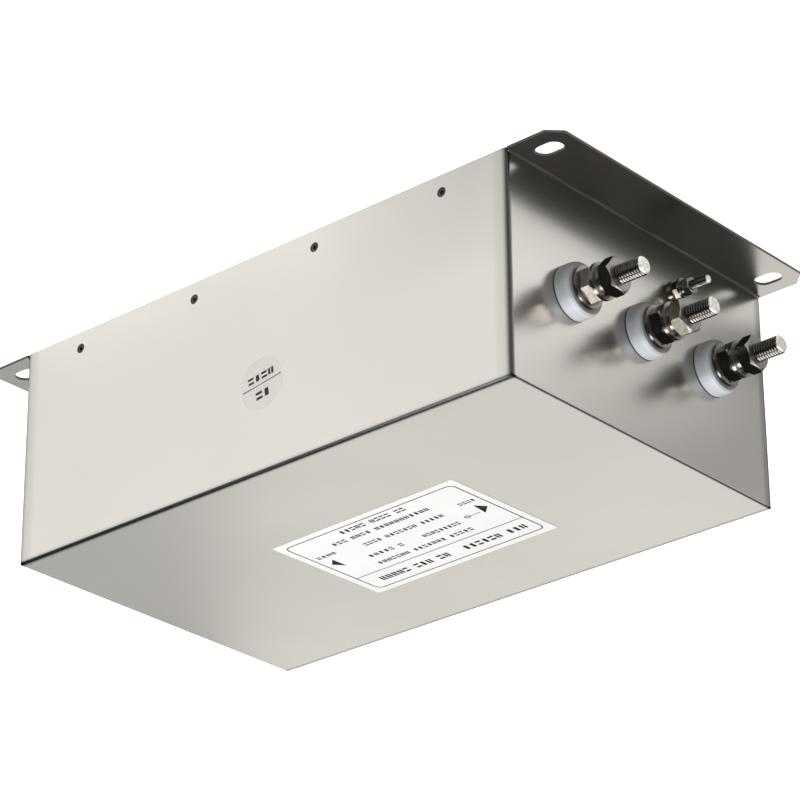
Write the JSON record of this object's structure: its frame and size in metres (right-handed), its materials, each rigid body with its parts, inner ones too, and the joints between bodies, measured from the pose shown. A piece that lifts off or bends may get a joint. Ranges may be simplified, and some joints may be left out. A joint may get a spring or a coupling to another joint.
{
  "type": "emi line filter",
  "caption": "Flanged sheet-steel box with threaded power terminals on insulating collars and an earth screw at each end; capacitors, boards and a wound ring choke inside.",
  "frame": {"origin": "centre of the mounting face, the underside of the base sheet", "axes": "+Z from the mounting face to the label face, +X along the case from the LINE end to the LOAD end, +Y across it"},
  "size_m": [0.3446, 0.1691, 0.1002],
  "materials": {
    "case_steel": "bright plated sheet steel, semi-gloss",
    "base_steel": "bright plated sheet steel, semi-gloss",
    "black_finish": "matt black finish on steel screws and print",
    "label": "printed white film, satin",
    "clear_film": "clear film",
    "stud_nickel": "nickel-plated steel",
    "collar_plastic": "moulded white polyamide, satin",
    "washer_nickel": "nickel-plated steel",
    "nut_nickel": "nickel-plated steel",
    "spring_steel": "zinc-plated spring steel",
    "board_laminate": "glass-epoxy laminate, satin",
    "tinned_copper": "tinned copper",
    "film_capacitor": "moulded plastic box",
    "earth_capacitor": "moulded plastic box",
    "resistor_body": "coated film resistor",
    "core_ribbon": "wound soft-magnetic ribbon",
    "case_plastic": "moulded polyester, matt",
    "enamelled_copper": "enamelled copper wire",
    "pad_felt": "insulating pad",
    "clamp_laminate": "glass-epoxy laminate",
    "zinc_steel": "zinc-plated steel"
  },
  "bodies": {
    "root": {"cover": "case_steel", "base_plate": "base_steel", "cover_screws": "black_finish", "rating_label": "label", "round_sticker": "clear_film", "line_stud_1": "stud_nickel", "line_stud_2": "stud_nickel", "line_stud_3": "stud_nickel", "load_stud_1": "stud_nickel", "load_stud_2": "stud_nickel", "load_stud_3": "stud_nickel", "line_bush_1": "collar_plastic", "line_bush_2": "collar_plastic", "line_bush_3": "collar_plastic", "load_bush_1": "collar_plastic", "load_bush_2": "collar_plastic", "load_bush_3": "collar_plastic", "inner_bushes": "collar_plastic", "bush_washers": "washer_nickel", "wire_washers": "washer_nickel", "clamp_nuts": "nut_nickel", "wire_nuts": "nut_nickel", "inside_nuts": "nut_nickel", "spring_washers": "spring_steel", "inside_spring_washers": "spring_steel", "ground_stud_line": "stud_nickel", "ground_stud_load": "stud_nickel", "ground_washers": "washer_nickel", "ground_nuts": "nut_nickel", "line_board": "board_laminate", "load_board": "board_laminate", "line_lug_1": "tinned_copper", "line_lug_2": "tinned_copper", "line_lug_3": "tinned_copper", "load_lug_1": "tinned_copper", "load_lug_2": "tinned_copper", "load_lug_3": "tinned_copper", "line_capacitor_1": "film_capacitor", "line_capacitor_2": "film_capacitor", "line_capacitor_3": "film_capacitor", "load_capacitor_1": "film_capacitor", "load_capacitor_2": "film_capacitor", "load_capacitor_3": "film_capacitor", "line_earth_capacitor": "earth_capacitor", "load_earth_capacitor": "earth_capacitor", "bleed_resistor_1": "resistor_body", "bleed_resistor_2": "resistor_body", "bleed_resistor_3": "resistor_body", "choke_core": "core_ribbon", "core_case": "case_plastic", "core_case_lid": "case_plastic", "phase_divider": "case_plastic", "winding_1": "enamelled_copper", "winding_2": "enamelled_copper", "winding_3": "enamelled_copper", "choke_pad": "pad_felt", "clamp_plate": "clamp_laminate", "choke_stud": "zinc_steel", "choke_nut": "zinc_steel"}
  },
  "joints": []
}
